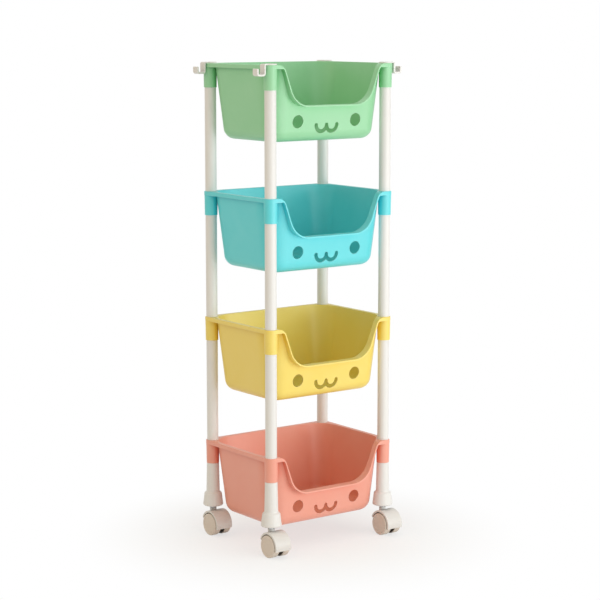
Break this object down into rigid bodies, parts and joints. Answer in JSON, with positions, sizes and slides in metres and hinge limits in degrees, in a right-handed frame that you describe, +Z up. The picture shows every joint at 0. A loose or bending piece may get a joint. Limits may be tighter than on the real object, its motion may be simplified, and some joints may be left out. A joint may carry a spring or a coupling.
{
  "type": "toy storage cart",
  "caption": "Rolling toy storage cart: stacked open-front plastic baskets with face cut-outs on round corner posts, with side hooks and twin-wheel swivel casters.",
  "frame": {"origin": "on the floor under the middle of the whole cart's box, casters trailing to the front", "axes": "+Z up along the posts, +X to the cart's right seen from its front, front towards -Y"},
  "size_m": [0.369, 0.279, 1.0055],
  "materials": {
    "plastic_green": "satin",
    "plastic_blue": "satin",
    "plastic_yellow": "satin",
    "plastic_coral": "satin",
    "plastic_white": "satin",
    "caster_plastic": "gloss",
    "steel": "zinc plated"
  },
  "bodies": {
    "tower": {"basket_green": "plastic_green", "basket_blue": "plastic_blue", "basket_yellow": "plastic_yellow", "basket_coral": "plastic_coral", "post_upper_front_left": "plastic_white", "post_middle_front_left": "plastic_white", "post_lower_front_left": "plastic_white", "foot_front_left": "plastic_white", "hook_front_left": "plastic_white", "post_upper_front_right": "plastic_white", "post_middle_front_right": "plastic_white", "post_lower_front_right": "plastic_white", "foot_front_right": "plastic_white", "hook_front_right": "plastic_white", "post_upper_back_left": "plastic_white", "post_middle_back_left": "plastic_white", "post_lower_back_left": "plastic_white", "foot_back_left": "plastic_white", "hook_back_left": "plastic_white", "post_upper_back_right": "plastic_white", "post_middle_back_right": "plastic_white", "post_lower_back_right": "plastic_white", "foot_back_right": "plastic_white", "hook_back_right": "plastic_white"},
    "swivel_front_left": {"caster_stem_front_left": "steel", "caster_ring_front_left": "steel", "caster_hood_front_left": "caster_plastic", "caster_axle_front_left": "steel"},
    "wheel_left_front_left": {"caster_wheel_left_front_left": "caster_plastic"},
    "wheel_right_front_left": {"caster_wheel_right_front_left": "caster_plastic"},
    "swivel_front_right": {"caster_stem_front_right": "steel", "caster_ring_front_right": "steel", "caster_hood_front_right": "caster_plastic", "caster_axle_front_right": "steel"},
    "wheel_left_front_right": {"caster_wheel_left_front_right": "caster_plastic"},
    "wheel_right_front_right": {"caster_wheel_right_front_right": "caster_plastic"},
    "swivel_back_left": {"caster_stem_back_left": "steel", "caster_ring_back_left": "steel", "caster_hood_back_left": "caster_plastic", "caster_axle_back_left": "steel"},
    "wheel_left_back_left": {"caster_wheel_left_back_left": "caster_plastic"},
    "wheel_right_back_left": {"caster_wheel_right_back_left": "caster_plastic"},
    "swivel_back_right": {"caster_stem_back_right": "steel", "caster_ring_back_right": "steel", "caster_hood_back_right": "caster_plastic", "caster_axle_back_right": "steel"},
    "wheel_left_back_right": {"caster_wheel_left_back_right": "caster_plastic"},
    "wheel_right_back_right": {"caster_wheel_right_back_right": "caster_plastic"}
  },
  "joints": [
    {"name": "swivel_front_left", "type": "hinge", "parent": "tower", "child": "swivel_front_left", "pos_m": [-0.147, -0.096, 0.0615], "axis": [0, 0, 1], "continuous": true},
    {"name": "roll_left_front_left", "type": "hinge", "parent": "swivel_front_left", "child": "wheel_left_front_left", "pos_m": [-0.1599, -0.11, 0.0235], "axis": [1, 0, 0], "continuous": true},
    {"name": "roll_right_front_left", "type": "hinge", "parent": "swivel_front_left", "child": "wheel_right_front_left", "pos_m": [-0.1341, -0.11, 0.0235], "axis": [1, 0, 0], "continuous": true},
    {"name": "swivel_front_right", "type": "hinge", "parent": "tower", "child": "swivel_front_right", "pos_m": [0.147, -0.096, 0.0615], "axis": [0, 0, 1], "continuous": true},
    {"name": "roll_left_front_right", "type": "hinge", "parent": "swivel_front_right", "child": "wheel_left_front_right", "pos_m": [0.1341, -0.11, 0.0235], "axis": [1, 0, 0], "continuous": true},
    {"name": "roll_right_front_right", "type": "hinge", "parent": "swivel_front_right", "child": "wheel_right_front_right", "pos_m": [0.1599, -0.11, 0.0235], "axis": [1, 0, 0], "continuous": true},
    {"name": "swivel_back_left", "type": "hinge", "parent": "tower", "child": "swivel_back_left", "pos_m": [-0.147, 0.118, 0.0615], "axis": [0, 0, 1], "continuous": true},
    {"name": "roll_left_back_left", "type": "hinge", "parent": "swivel_back_left", "child": "wheel_left_back_left", "pos_m": [-0.1599, 0.104, 0.0235], "axis": [1, 0, 0], "continuous": true},
    {"name": "roll_right_back_left", "type": "hinge", "parent": "swivel_back_left", "child": "wheel_right_back_left", "pos_m": [-0.1341, 0.104, 0.0235], "axis": [1, 0, 0], "continuous": true},
    {"name": "swivel_back_right", "type": "hinge", "parent": "tower", "child": "swivel_back_right", "pos_m": [0.147, 0.118, 0.0615], "axis": [0, 0, 1], "continuous": true},
    {"name": "roll_left_back_right", "type": "hinge", "parent": "swivel_back_right", "child": "wheel_left_back_right", "pos_m": [0.1341, 0.104, 0.0235], "axis": [1, 0, 0], "continuous": true},
    {"name": "roll_right_back_right", "type": "hinge", "parent": "swivel_back_right", "child": "wheel_right_back_right", "pos_m": [0.1599, 0.104, 0.0235], "axis": [1, 0, 0], "continuous": true}
  ]
}
